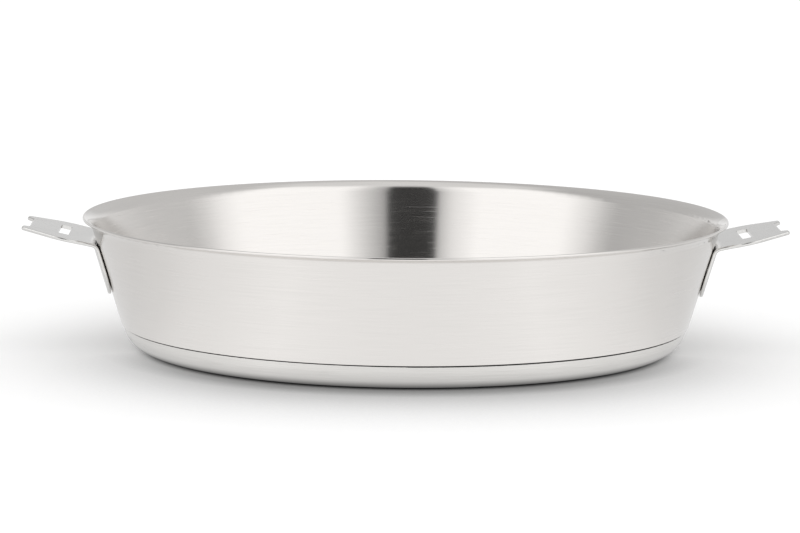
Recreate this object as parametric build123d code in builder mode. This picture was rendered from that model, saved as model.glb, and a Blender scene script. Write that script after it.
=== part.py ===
from build123d import *
import os
from math import cos, radians, sin, tan

# Frying pan that takes a clip-on handle, in millimetres.
# The origin is the middle of the underside, +Z is up, and +X runs through the two brackets.

os.makedirs("parts", exist_ok=True)

# Pan body: one pressed stainless sheet, flared at the top into a pouring lip.
lip_radius = 150.0  # outermost edge of the lip
pan_height = 61.0  # top of the lip above the surface that the pan stands on
sheet = 1.2  # thickness of the pressed sheet
wall_lean = 16.8  # wall, degrees away from upright
lip_rise = 18.0  # lip, degrees above level
lip_bend_radius = 6.1  # hollow side of the bend under the lip
lip_land = 0.7  # straight stretch between that bend and the edge
lip_edge_radius = 0.5  # polished rounding of the edge
floor_corner_radius = 14.5  # inside corner between floor and wall

# Sandwich base: an aluminium disc closed in by a shallow stainless cap.
cap_sheet = 0.8  # thickness of the cap
cap_inset = 0.6  # the cap's side lies this far inside the line of the wall
cap_corner_radius = 12.0  # outside corner of the cap
cap_edge_radius = 0.2  # rounding of the cap's upper edge
seam_height = 11.5  # step in the wall that the cap tucks under
seam_gap = 0.5  # groove between the step and the cap's edge
seam_edge_radius = 0.15  # rounding of the step
disc_thickness = 5.0  # aluminium between the cap and the floor
disc_rim_height = 9.0  # top of the aluminium where it wraps the corner
bond_gap = 0.02  # bond line at the curved and sloping faces

# Brackets: pressed stainless strips, one on each side, for the clip-on handle.
bracket_sheet = 1.6  # thickness of a bracket
tab_overhang = 26.8  # tip of the tab, outside the lip
tab_drop = 3.5  # top of the tab at its tip, below the top of the lip
tab_rise = 12.4  # tab, degrees above level
bend_width = 54.0  # leg, and tab where it leaves the leg
tab_land = 4.0  # straight sides of the tab next to the bend
tab_land_radius = 12.0  # hollow where those sides start to swell
shoulder_width = 59.0  # tab beside the slot, over its shoulders before they are rounded
shoulder_radius = 20.0  # rounding of the shoulders
tip_width = 42.0  # over both prongs
prong_width = 5.0  # one prong
prong_length = 3.0  # depth of the notch between the prongs
prong_radius = 1.9  # rounding of a prong
notch_slant = 2.5  # how far the notch narrows on its way in
notch_radius = 1.0  # corners at the bottom of the notch
slot_setback = 18.9  # middle of the slot, back from the tip along the tab
slot_length = 5.0  # slot, along the tab
slot_width = 28.5  # slot, across the tab
slot_corner_radius = 0.5  # corners of the slot
leg_length = 24.5  # height of the leg under its corner with the tab
leg_corner_radius = 12.0  # lower corners of the leg
bend_radius = 3.0  # hollow side of the bend between leg and tab
bracket_edge_radius = 0.6  # polished rounding of a bracket's edges

# Spot welds between each leg and the wall.
weld_gap = 0.3  # space that the welds keep between leg and wall
weld_diameter = 6.0
weld_pitch_across = 28.0
weld_pitch_up = 11.0
weld_rise = 11.3  # middle of the pattern, above the foot of the leg
weld_columns = 2
weld_rows = 2

# Heights of the stacked sheets, and the lengths that only have to clear the part.
floor_underside = cap_sheet + disc_thickness
floor_top = floor_underside + sheet
bracket_reach = lip_radius + tab_overhang
tab_height = pan_height - tab_drop
clear_length = 2 * bracket_reach
broad_face_count = 6
lean = radians(wall_lean)
rise = radians(lip_rise)
tab_angle = radians(tab_rise)

# Middle of the lip's edge face, set back so that the roundings touch both outer limits.
edge_offset = sheet / 2 - lip_edge_radius
edge_x = lip_radius - lip_edge_radius * (1 - cos(rise)) - edge_offset * sin(rise)
edge_z = pan_height - lip_edge_radius * (1 - sin(rise)) - edge_offset * cos(rise)

# Middle line of the sheet: back from the edge along the land, round the bend, onto the wall.
middle_bend = lip_bend_radius + sheet / 2
bend_x = edge_x - lip_land * cos(rise) + middle_bend * sin(rise)
bend_z = edge_z - lip_land * sin(rise) - middle_bend * cos(rise)
wall_top_x = bend_x - middle_bend * cos(lean)
wall_top_z = bend_z + middle_bend * sin(lean)


def wall_x(z, depth=0.0):
    """Radius, at height z, of the cone that lies depth inside the outer face of the wall."""
    return wall_top_x + (z - wall_top_z) * tan(lean) + (sheet / 2 - depth) / cos(lean)


def wall_point(z, depth=0.0):
    """The same as a point of a half section."""
    return (wall_x(z, depth), z)


def lip_edge(depth):
    """End of the lip's face that lies depth inside the outer face."""
    return (
        edge_x + (sheet / 2 - depth) * sin(rise),
        edge_z - (sheet / 2 - depth) * cos(rise),
    )


def lip_corner(depth):
    """Where that face of the lip would meet the same face of the wall without the bend."""
    x, z = lip_edge(depth)
    back = (x - wall_x(z, depth)) / (cos(rise) - sin(rise) * tan(lean))
    return (x - back * cos(rise), z - back * sin(rise))


# Pan body. The wall runs straight down to the seam, where its outside steps in for the cap.
cap_depth = cap_inset + cap_sheet + bond_gap
corner_top = floor_top + floor_corner_radius

with BuildPart() as pan_body:
    with BuildSketch(Plane.XZ):
        with BuildLine():
            FilletPolyline(
                (0, floor_underside),
                wall_point(floor_underside),
                lip_corner(0),
                lip_edge(0),
                lip_edge(sheet),
                lip_corner(sheet),
                wall_point(floor_top, sheet),
                (0, floor_top),
                radius=[
                    floor_corner_radius + sheet,
                    lip_bend_radius,
                    lip_edge_radius,
                    lip_edge_radius,
                    lip_bend_radius + sheet,
                    floor_corner_radius,
                ],
            )
            Line((0, floor_top), (0, floor_underside))
        make_face()
        with BuildLine():
            FilletPolyline(
                wall_point(corner_top),
                wall_point(seam_height),
                wall_point(seam_height, cap_depth + sheet / 2),
                wall_point(corner_top, sheet / 2),
                radius=[seam_edge_radius, 0],
            )
            Line(wall_point(corner_top, sheet / 2), wall_point(corner_top))
        make_face()
        with BuildLine():
            Polyline(
                wall_point(seam_height, cap_depth),
                wall_point(0, cap_depth),
                (lip_radius, 0),
                (lip_radius, seam_height),
                close=True,
            )
        make_face(mode=Mode.SUBTRACT)
    revolve(axis=Axis.Z)
pan_body.part.label = "pan_body"

# Base cap: a shallow dish, side parallel to the wall and open towards the pan.
cap_top = seam_height - seam_gap

with BuildPart() as base_cap:
    with BuildSketch(Plane.XZ):
        with BuildLine():
            FilletPolyline(
                (0, 0),
                wall_point(0, cap_inset),
                wall_point(cap_top, cap_inset),
                wall_point(cap_top, cap_inset + cap_sheet),
                wall_point(cap_sheet, cap_inset + cap_sheet),
                (0, cap_sheet),
                radius=[
                    cap_corner_radius,
                    cap_edge_radius,
                    cap_edge_radius,
                    cap_corner_radius - cap_sheet,
                ],
            )
            Line((0, cap_sheet), (0, 0))
        make_face()
    revolve(axis=Axis.Z)
base_cap.part.label = "base_cap"

# Heat spreader: the aluminium fills the cap and wraps the lower corner of the pan body.
with BuildPart() as heat_spreader_disc:
    with BuildSketch(Plane.XZ):
        with BuildLine():
            FilletPolyline(
                (0, cap_sheet),
                wall_point(cap_sheet, cap_depth),
                wall_point(disc_rim_height, cap_depth),
                (0, disc_rim_height),
                radius=[cap_corner_radius - cap_sheet - bond_gap, 0],
            )
            Line((0, disc_rim_height), (0, cap_sheet))
        make_face()
        with BuildLine():
            FilletPolyline(
                (0, floor_underside),
                wall_point(floor_underside, -bond_gap),
                wall_point(pan_height, -bond_gap),
                (0, pan_height),
                radius=[floor_corner_radius + sheet + bond_gap, 0],
            )
            Line((0, pan_height), (0, floor_underside))
        make_face(mode=Mode.SUBTRACT)
    revolve(axis=Axis.Z)
heat_spreader_disc.part.label = "heat_spreader_disc"

# Bracket corner: where the top of the tab would meet the face of the leg without the bend.
leg_depth = -weld_gap
tab_slope = tan(tab_angle)
corner_z = tab_height - (bracket_reach - wall_x(tab_height, leg_depth)) * tab_slope / (
    1 - tan(lean) * tab_slope
)
corner_x = wall_x(corner_z, leg_depth)
tab_plane = Plane(
    origin=(corner_x, 0, corner_z),
    x_dir=(cos(tab_angle), 0, sin(tab_angle)),
    z_dir=(-sin(tab_angle), 0, cos(tab_angle)),
)
tab_length = (bracket_reach - corner_x) / cos(tab_angle)
slot_place = tab_length - slot_setback
leg_foot = corner_z - leg_length

# Bracket leg: a tongue of the cone that lies on the wall, its lower corners rounded.
with BuildPart() as bracket_leg:
    with BuildSketch(Plane.YZ):
        with BuildLine():
            Polyline(
                wall_point(0, leg_depth),
                wall_point(pan_height, leg_depth),
                wall_point(pan_height, leg_depth - bracket_sheet),
                wall_point(0, leg_depth - bracket_sheet),
                close=True,
            )
        make_face()
    revolve(axis=Axis.Z)
    with BuildSketch(Plane.YZ):
        with BuildLine():
            FilletPolyline(
                (-bend_width / 2, pan_height),
                (-bend_width / 2, leg_foot),
                (bend_width / 2, leg_foot),
                (bend_width / 2, pan_height),
                radius=leg_corner_radius,
            )
            Line((bend_width / 2, pan_height), (-bend_width / 2, pan_height))
        make_face()
    extrude(amount=clear_length, mode=Mode.INTERSECT)
    split(bisect_by=tab_plane, keep=Keep.BOTTOM)

# Bracket tab: flat, widest beside its slot, with a notch between two prongs at the tip.
tab_root = -bend_width / 4
notch_floor = tab_length - prong_length
notch_half = tip_width / 2 - prong_width

with BuildPart() as right_bracket:
    with BuildSketch(tab_plane):
        with BuildLine():
            side = FilletPolyline(
                (tab_root, bend_width / 2),
                (tab_land, bend_width / 2),
                (slot_place, shoulder_width / 2),
                (tab_length, tip_width / 2),
                radius=[tab_land_radius, shoulder_radius],
            )
            mirror(side, about=Plane.XZ)
            Line((tab_length, tip_width / 2), (tab_length, -tip_width / 2))
            Line((tab_root, bend_width / 2), (tab_root, -bend_width / 2))
        make_face()
        with BuildLine():
            Polyline(
                (tab_length, notch_half),
                (notch_floor, notch_half - notch_slant),
                (notch_floor, notch_slant - notch_half),
                (tab_length, -notch_half),
                close=True,
            )
        make_face(mode=Mode.SUBTRACT)
        fillet(vertices().group_by(Axis.X)[-1], radius=prong_radius)
        fillet(vertices().filter_by_position(Axis.X, notch_floor, notch_floor), radius=notch_radius)
        with Locations((slot_place, 0)):
            RectangleRounded(slot_length, slot_width, slot_corner_radius, mode=Mode.SUBTRACT)
    extrude(amount=-bracket_sheet)
    with BuildSketch(Plane.YZ):
        with BuildLine():
            Polyline(
                (0, 0),
                wall_point(0, leg_depth),
                wall_point(pan_height, leg_depth),
                (0, pan_height),
                close=True,
            )
        make_face()
    revolve(axis=Axis.Z, mode=Mode.SUBTRACT)
    add(bracket_leg.part)
    hollow_bend, outer_bend = edges().filter_by(GeomType.ELLIPSE).sort_by(Axis.Z)
    fillet(hollow_bend, radius=bend_radius)
    fillet(
        edges().filter_by(GeomType.ELLIPSE).sort_by(Axis.Z)[-1],
        radius=bend_radius + bracket_sheet,
    )
    # The two broad sides of the strip, each of leg, bend and tab, meet its narrow side at the rim.
    broad_faces = faces().sort_by(SortBy.AREA)[-broad_face_count:]
    borders = [edge for face in broad_faces for edge in face.outer_wire().edges()]
    rims = ShapeList(
        edge for edge in borders if sum(edge.is_same(other) for other in borders) == 1
    )
    fillet(rims.sort_by(Axis.Y).sort_by(Axis.Z), radius=bracket_edge_radius)
right_bracket.part.label = "right_bracket"

with BuildPart() as left_bracket:
    mirror(right_bracket.part, about=Plane.YZ)
left_bracket.part.label = "left_bracket"

# Spot welds: nuggets that fill the space between the leg and the wall.
with BuildPart() as right_bracket_welds:
    with BuildSketch(Plane.YZ):
        with BuildLine():
            Polyline(
                wall_point(0),
                wall_point(pan_height),
                wall_point(pan_height, leg_depth),
                wall_point(0, leg_depth),
                close=True,
            )
        make_face()
    revolve(axis=Axis.Z)
    with BuildSketch(Plane.YZ):
        with Locations((0, leg_foot + weld_rise)):
            with GridLocations(weld_pitch_across, weld_pitch_up, weld_columns, weld_rows):
                Circle(weld_diameter / 2)
    extrude(amount=clear_length, mode=Mode.INTERSECT)
right_bracket_welds.part.label = "right_bracket_welds"

with BuildPart() as left_bracket_welds:
    mirror(right_bracket_welds.part, about=Plane.YZ)
left_bracket_welds.part.label = "left_bracket_welds"

for piece in (
    pan_body,
    heat_spreader_disc,
    base_cap,
    left_bracket,
    right_bracket,
    left_bracket_welds,
    right_bracket_welds,
):
    export_step(piece.part, f"parts/{piece.part.label}.step")
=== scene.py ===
import math

import bpy
from mathutils import Matrix, Vector

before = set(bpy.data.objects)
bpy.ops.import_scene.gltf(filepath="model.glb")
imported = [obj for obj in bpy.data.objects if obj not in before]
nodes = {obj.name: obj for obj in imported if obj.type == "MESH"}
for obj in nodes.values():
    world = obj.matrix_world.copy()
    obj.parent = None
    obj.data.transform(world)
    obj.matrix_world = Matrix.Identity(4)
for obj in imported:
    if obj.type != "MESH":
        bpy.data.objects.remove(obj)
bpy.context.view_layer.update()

scene = bpy.context.scene


# Pan body: one disc of 18/10 stainless steel, pressed into a bowl with a flared lip.
# Wall and floor are spun-brushed on a lathe, so the fine scratches run round the axis.
# The lip is polished after the brushing.
def linear(hex_colour):
    """sRGB hex to the linear RGBA that the sockets take."""
    channels = [int(hex_colour[i:i + 2], 16) / 255 for i in (1, 3, 5)]
    return [c / 12.92 if c <= 0.04045 else ((c + 0.055) / 1.055) ** 2.4 for c in channels] + [1.0]


def add(tree, kind, inputs=None, **settings):
    """Adds a node; inputs maps a socket to a value or to another node's output."""
    made = tree.nodes.new(kind)
    for name, value in settings.items():
        setattr(made, name, value)
    for socket, value in (inputs or {}).items():
        if isinstance(value, bpy.types.NodeSocket):
            tree.links.new(value, made.inputs[socket])
        else:
            made.inputs[socket].default_value = value
    return made


def new_material(name):
    """A named material: its node tree and its Principled surface."""
    material = bpy.data.materials.new(name)
    material.use_nodes = True
    tree = material.node_tree
    return material, tree, tree.nodes["Principled BSDF"]


def round_axis(tree):
    """The direction from the Z axis, the distance from it and the height, in metres."""
    place = add(tree, "ShaderNodeTexCoord").outputs["Object"]
    axes = add(tree, "ShaderNodeSeparateXYZ", {0: place}).outputs
    level = add(tree, "ShaderNodeCombineXYZ", {"X": axes["X"], "Y": axes["Y"]}).outputs[0]
    radius = add(tree, "ShaderNodeVectorMath", {0: level}, operation="LENGTH").outputs["Value"]
    turn = add(tree, "ShaderNodeVectorMath", {0: level}, operation="NORMALIZE").outputs[0]
    return turn, radius, axes["Z"]


def brushed_round_axis(tree, line_mm, drift):
    """Noise drawn out round the Z axis: line_mm between scratches, drift changes per turn."""
    turn, radius, height = round_axis(tree)
    around = add(tree, "ShaderNodeVectorMath", {0: turn, "Scale": drift}, operation="SCALE").outputs[0]
    across = add(tree, "ShaderNodeMath", {0: radius, 1: height}, operation="ADD").outputs[0]
    lines = add(tree, "ShaderNodeMath", {0: across, 1: 1000 / line_mm}, operation="MULTIPLY").outputs[0]
    lift = add(tree, "ShaderNodeCombineXYZ", {"Z": lines}).outputs[0]
    spot = add(tree, "ShaderNodeVectorMath", {0: around, 1: lift}, operation="ADD").outputs[0]
    return add(
        tree, "ShaderNodeTexNoise", {"Vector": spot, "Scale": 1.0, "Detail": 3.0, "Roughness": 0.6}
    ).outputs["Fac"]


def step(tree, value, start, end, low=0.0, high=1.0):
    """Takes a value from low at start to high at end, and holds it there."""
    ends = {"From Min": start, "From Max": end, "To Min": low, "To Max": high}
    return add(tree, "ShaderNodeMapRange", {"Value": value, **ends}).outputs["Result"]


def between(tree, noise, low, high):
    """Takes noise, which lies mostly from 0.3 to 0.7, to the stretch from low to high."""
    return step(tree, noise, 0.3, 0.7, low, high)


def blend(tree, share, first, second):
    """Goes from the colour first to the colour second as share goes from 0 to 1."""
    mix = add(tree, "ShaderNodeMix", {0: share, 6: first, 7: second}, data_type="RGBA")
    return mix.outputs[2]


def toned(tree, noise, dark, light):
    """A colour that goes from dark to light with the noise."""
    return blend(tree, between(tree, noise, 0.0, 1.0), linear(dark), linear(light))


def raised(tree, noise, height_mm):
    """Bump from the noise, height_mm deep."""
    return add(
        tree, "ShaderNodeBump", {"Height": noise, "Distance": height_mm / 1000, "Strength": 1.0}
    ).outputs["Normal"]


def wear(tree, across_mm, detail=4.0):
    """Soft patches of handling, heat or grain, about across_mm wide."""
    place = add(tree, "ShaderNodeTexCoord").outputs["Object"]
    return add(
        tree, "ShaderNodeTexNoise", {"Vector": place, "Scale": 1000 / across_mm, "Detail": detail}
    ).outputs["Fac"]


# 18/10 stainless, spun-brushed: the scratches blur what it reflects up and down, not round.
# Real scratches lie about 0.05 mm apart; they are drawn at 0.4 mm, or they would not show.
# The lip is smoother, and the groove over the base cap gets a dark painted shade, for the shadow in the gap
# above the cap, and full roughness.
polish_start = 0.0575
polish_end = 0.0598
groove_radius = 0.1293
seam_height = 0.0115
quarter_turn = 0.25
steel, tree, surface = new_material("stainless_18_10_spun_brushed")
scratches = brushed_round_axis(tree, line_mm=0.4, drift=5.0)
radius, height = round_axis(tree)[1:]
outside = step(tree, radius, groove_radius - 0.0001, groove_radius + 0.0001)
under = step(tree, height, seam_height - 0.00002, seam_height + 0.00006, 1.0, 0.0)
painted_shade_groove = add(tree, "ShaderNodeMath", {0: outside, 1: under}, operation="MULTIPLY").outputs[0]
bare = toned(tree, scratches, "#E4E1DE", "#EAE7E4")
satin = between(tree, wear(tree, across_mm=70.0), 0.14, 0.17)
deep = step(tree, scratches, 0.56, 0.74, 0.0, 0.16)
satin = add(tree, "ShaderNodeMath", {0: satin, 1: deep}, operation="ADD").outputs[0]
smoother = step(tree, height, polish_start, polish_end, 1.0, 0.6)
satin = add(tree, "ShaderNodeMath", {0: satin, 1: smoother}, operation="MULTIPLY").outputs[0]
rough = add(tree, "ShaderNodeMath", {0: satin, 1: painted_shade_groove}, operation="MAXIMUM").outputs[0]
round_z = add(tree, "ShaderNodeTangent", direction_type="RADIAL", axis="Z").outputs[0]
surface.inputs["Metallic"].default_value = 1.0
surface.inputs["Anisotropic"].default_value = 0.9
surface.inputs["Anisotropic Rotation"].default_value = quarter_turn
# The dark colour in the groove over the base cap is painted shade.
tree.links.new(blend(tree, painted_shade_groove, bare, linear("#2E2B29")), surface.inputs["Base Color"])
tree.links.new(rough, surface.inputs["Roughness"])
tree.links.new(raised(tree, scratches, 0.0015), surface.inputs["Normal"])
tree.links.new(round_z, surface.inputs["Tangent"])


def dress(node_name, material):
    """Gives a CAD node its finish."""
    slots = nodes[node_name].data.materials
    slots.clear()
    slots.append(material)


dress("pan_body", steel)

# Base cap: a shallow dish of magnetic 18/0 stainless, pressed over the aluminium core.
# It is satin polished, a little duller than the wall.
cap_steel, tree, surface = new_material("stainless_18_0_satin_polished")
scratches = brushed_round_axis(tree, line_mm=0.6, drift=7.0)
round_z = add(tree, "ShaderNodeTangent", direction_type="RADIAL", axis="Z").outputs[0]
surface.inputs["Metallic"].default_value = 1.0
surface.inputs["Anisotropic"].default_value = 0.7
surface.inputs["Anisotropic Rotation"].default_value = quarter_turn
tree.links.new(toned(tree, scratches, "#DDDBD8", "#E5E3E0"), surface.inputs["Base Color"])
tree.links.new(between(tree, wear(tree, across_mm=50.0), 0.2, 0.26), surface.inputs["Roughness"])
tree.links.new(raised(tree, scratches, 0.001), surface.inputs["Normal"])
tree.links.new(round_z, surface.inputs["Tangent"])
dress("base_cap", cap_steel)

# Heat spreader: a disc of pure aluminium, rolled and blanked, closed in between the two steels.
# Rolling leaves a soft grain and little gloss.
aluminium, tree, surface = new_material("aluminium_1050_rolled")
surface.inputs["Metallic"].default_value = 1.0
rolled = wear(tree, across_mm=8.0)
tree.links.new(toned(tree, rolled, "#D2D4D6", "#DFE1E3"), surface.inputs["Base Color"])
tree.links.new(between(tree, rolled, 0.35, 0.45), surface.inputs["Roughness"])
tree.links.new(raised(tree, rolled, 0.01), surface.inputs["Normal"])
dress("heat_spreader_disc", aluminium)

# Brackets: 1.6 mm stainless strip, blanked, bent and tumbled until the edges are round.
# Tumbling leaves a soft polish without direction.
tumbled, tree, surface = new_material("stainless_18_10_tumbled")
surface.inputs["Metallic"].default_value = 1.0
grit = wear(tree, across_mm=1.2, detail=2.0)
tree.links.new(toned(tree, grit, "#DDDCDA", "#E7E6E4"), surface.inputs["Base Color"])
tree.links.new(between(tree, wear(tree, across_mm=18.0), 0.1, 0.17), surface.inputs["Roughness"])
tree.links.new(raised(tree, grit, 0.002), surface.inputs["Normal"])
dress("left_bracket", tumbled)
dress("right_bracket", tumbled)

# Spot welds: fused nuggets between leg and wall, with the straw tint that the heat leaves.
# Nothing polishes them, so they stay rough.
weld, tree, surface = new_material("stainless_spot_weld")
surface.inputs["Metallic"].default_value = 1.0
heat = wear(tree, across_mm=3.0)
tree.links.new(toned(tree, heat, "#9C9080", "#B9B3A6"), surface.inputs["Base Color"])
tree.links.new(between(tree, heat, 0.4, 0.55), surface.inputs["Roughness"])
tree.links.new(raised(tree, heat, 0.02), surface.inputs["Normal"])
dress("left_bracket_welds", weld)
dress("right_bracket_welds", weld)

# Studio floor: a white paper sweep, wide enough for every view. To the camera it has a painted shadow
# where it meets the pan, over its real shading; the steel sees it as a painted reflection, brightest in front
# and with a painted shadow close under the base.
# From below it is clear, so that the underside can be looked at.
floor_mesh = bpy.data.meshes.new("studio_floor")
half = 6.0
floor_mesh.from_pydata(
    [(-half, -half, 0.0), (half, -half, 0.0), (half, half, 0.0), (-half, half, 0.0)], [], [(0, 1, 2, 3)]
)
floor = bpy.data.objects.new("studio_floor", floor_mesh)
scene.collection.objects.link(floor)


def profile(tree, value, start, end, levels):
    """A grey level that follows the (value, level) pairs; the values lie from start to end."""
    made = add(tree, "ShaderNodeValToRGB", {0: step(tree, value, start, end)})
    marks = made.color_ramp.elements
    while len(marks) < len(levels):
        marks.new(1.0)
    for mark, (place, level) in zip(marks, levels):
        mark.position = (place - start) / (end - start)
        mark.color = (level, level, level, 1.0)
    return made.outputs["Color"]


white = (1.0, 1.0, 1.0, 1.0)
front_way = (0.0, -1.0, 0.0)
shadow_reach = 0.11
paper_lift = 0.14
paper, tree, surface = new_material("white_paper_sweep")
output = tree.nodes["Material Output"]
path = add(tree, "ShaderNodeLightPath").outputs
turn, radius = round_axis(tree)[:2]
front = add(tree, "ShaderNodeVectorMath", {0: turn, 1: front_way}, operation="DOT_PRODUCT").outputs["Value"]
# Painted shadow: occlusion, raised to a power that is larger in front and near the base, darkens the floor's
# colour and its lift.
open_sky = add(tree, "ShaderNodeAmbientOcclusion", {"Distance": shadow_reach}).outputs["AO"]
depth = step(tree, front, 0.2, 0.9, 0.05, step(tree, radius, 0.133, 0.145, 1.05, 0.62))
painted_contact_shadow = add(tree, "ShaderNodeMath", {0: open_sky, 1: depth}, operation="POWER").outputs[0]
shade = step(tree, path["Is Camera Ray"], 0.0, 1.0, 1.0, painted_contact_shadow)
fibres = toned(tree, wear(tree, across_mm=1.5), "#F4F4F4", "#F8F8F8")
tone = add(tree, "ShaderNodeVectorMath", {0: fibres, "Scale": shade}, operation="SCALE").outputs[0]
tree.links.new(tone, surface.inputs["Base Color"])
surface.inputs["Roughness"].default_value = 0.9
surface.inputs["Specular IOR Level"].default_value = 0.0
lift = add(tree, "ShaderNodeMath", {0: path["Is Camera Ray"], 1: paper_lift}, operation="MULTIPLY").outputs[0]
lift = add(tree, "ShaderNodeMath", {0: lift, 1: painted_contact_shadow}, operation="MULTIPLY").outputs[0]
lifted = add(tree, "ShaderNodeEmission", {"Color": white, "Strength": lift}).outputs[0]
seen = add(tree, "ShaderNodeAddShader", {0: surface.outputs[0], 1: lifted}).outputs[0]
# Painted reflection: to the steel the floor glows brighter in front and greyer to the sides and back, with a
# painted shadow close under the base.
boxes = profile(tree, front, 0.0, 1.0, (
    (0, 0.76), (0.3, 0.82), (0.5, 0.91), (0.7, 0.98), (0.86, 1.04), (1, 0.97),
))
painted_foot_shadow = profile(tree, radius, 0.12, 0.17, (
    (0.12, 0.02), (0.124, 0.3), (0.128, 0.76), (0.138, 0.97), (0.15, 1), (0.17, 1),
))
painted_reflection = add(tree, "ShaderNodeVectorMath", {0: boxes, 1: painted_foot_shadow}, operation="MULTIPLY").outputs[0]
painted_reflection = add(tree, "ShaderNodeEmission", {"Color": painted_reflection, "Strength": 1.0}).outputs[0]
rays = {0: path["Is Glossy Ray"], 1: path["Is Transmission Ray"]}
shiny = add(tree, "ShaderNodeMath", rays, operation="MAXIMUM").outputs[0]
sweep = add(tree, "ShaderNodeMixShader", {0: shiny, 1: seen, 2: painted_reflection}).outputs[0]
below = add(tree, "ShaderNodeNewGeometry").outputs["Backfacing"]
clear = add(tree, "ShaderNodeBsdfTransparent").outputs[0]
sweep = add(tree, "ShaderNodeMixShader", {0: below, 1: sweep, 2: clear}).outputs[0]
tree.links.new(sweep, output.inputs["Surface"])
floor_mesh.materials.append(paper)

# Studio: white to the eye. The steel sees two bright softboxes in front with a narrow dark gap
# between them, greyer walls at the sides and behind, a pale horizon and a grey ceiling.
world = bpy.data.worlds.new("white_studio")
scene.world = world
world.use_nodes = True
tree = world.node_tree
sky = tree.nodes["Background"]
gap_turn = math.radians(-94.0)
horizon_grey = (0.85, 0.85, 0.85, 1.0)
ceiling_grey = (0.78, 0.78, 0.78, 1.0)
way = add(tree, "ShaderNodeSeparateXYZ", {0: add(tree, "ShaderNodeTexCoord").outputs["Generated"]}).outputs
turn = add(tree, "ShaderNodeMath", {0: way["Y"], 1: way["X"]}, operation="ARCTAN2").outputs[0]
off = add(tree, "ShaderNodeMath", {0: turn, 1: gap_turn}, operation="SUBTRACT").outputs[0]
off = add(tree, "ShaderNodeMath", {0: off, 1: math.pi, 2: -math.pi}, operation="WRAP").outputs[0]
off = add(tree, "ShaderNodeMath", {0: off}, operation="DEGREES").outputs[0]
walls = profile(tree, off, -180, 180, (
    (-180, 0.58), (-90, 0.52), (-84, 0.66), (-77, 0.92), (-65, 1.22), (-28, 1.22), (-17, 0.94), (-10.4, 0.57),
    (-9.8, 0.03), (10.2, 0.03), (10.9, 0.42), (18, 0.7), (30, 1.2), (73, 1.22), (83, 1.04), (90, 0.81),
    (98, 0.64), (180, 0.62),
))
low = step(tree, way["Z"], 0.08, 0.2, 1.0, 0.0)
high = step(tree, way["Z"], 0.85, 0.94)
boxes = blend(tree, low, walls, horizon_grey)
boxes = blend(tree, high, boxes, ceiling_grey)
path = add(tree, "ShaderNodeLightPath").outputs
tree.links.new(blend(tree, path["Is Glossy Ray"], white, boxes), sky.inputs["Color"])
sky.inputs["Strength"].default_value = 1.0

# Camera: as in the photograph, 8 degrees above the floor and a little to the left of square.
# Its distance and aim are shares of the lip's radius, and its lens is given in pixels.
lip_radius = 0.15
distance = 11.4935 * lip_radius
height_angle = 0.1413
side_angle = math.radians(1.35)
roll = 0.0092
frame_width = 800
focal_pixels = 3690.7
middle = Vector((0.0, 0.0, 0.17 * lip_radius))
offset_pixels = (5.05, 24.69)
back = Vector((
    -math.sin(side_angle) * math.cos(height_angle),
    -math.cos(side_angle) * math.cos(height_angle),
    math.sin(height_angle),
))
right = Vector((math.cos(side_angle), -math.sin(side_angle), 0.0))
up = back.cross(right)
turned = Matrix((right, up, back)).transposed().to_4x4() @ Matrix.Rotation(roll, 4, "Z")
lens = bpy.data.cameras.new("camera")
lens.sensor_width = 36.0
lens.lens = focal_pixels / frame_width * lens.sensor_width
lens.shift_x = -offset_pixels[0] / frame_width
lens.shift_y = offset_pixels[1] / frame_width
camera = bpy.data.objects.new("camera", lens)
camera.matrix_world = Matrix.Translation(middle + back * distance) @ turned
scene.collection.objects.link(camera)
scene.camera = camera
scene.view_settings.view_transform = "Standard"
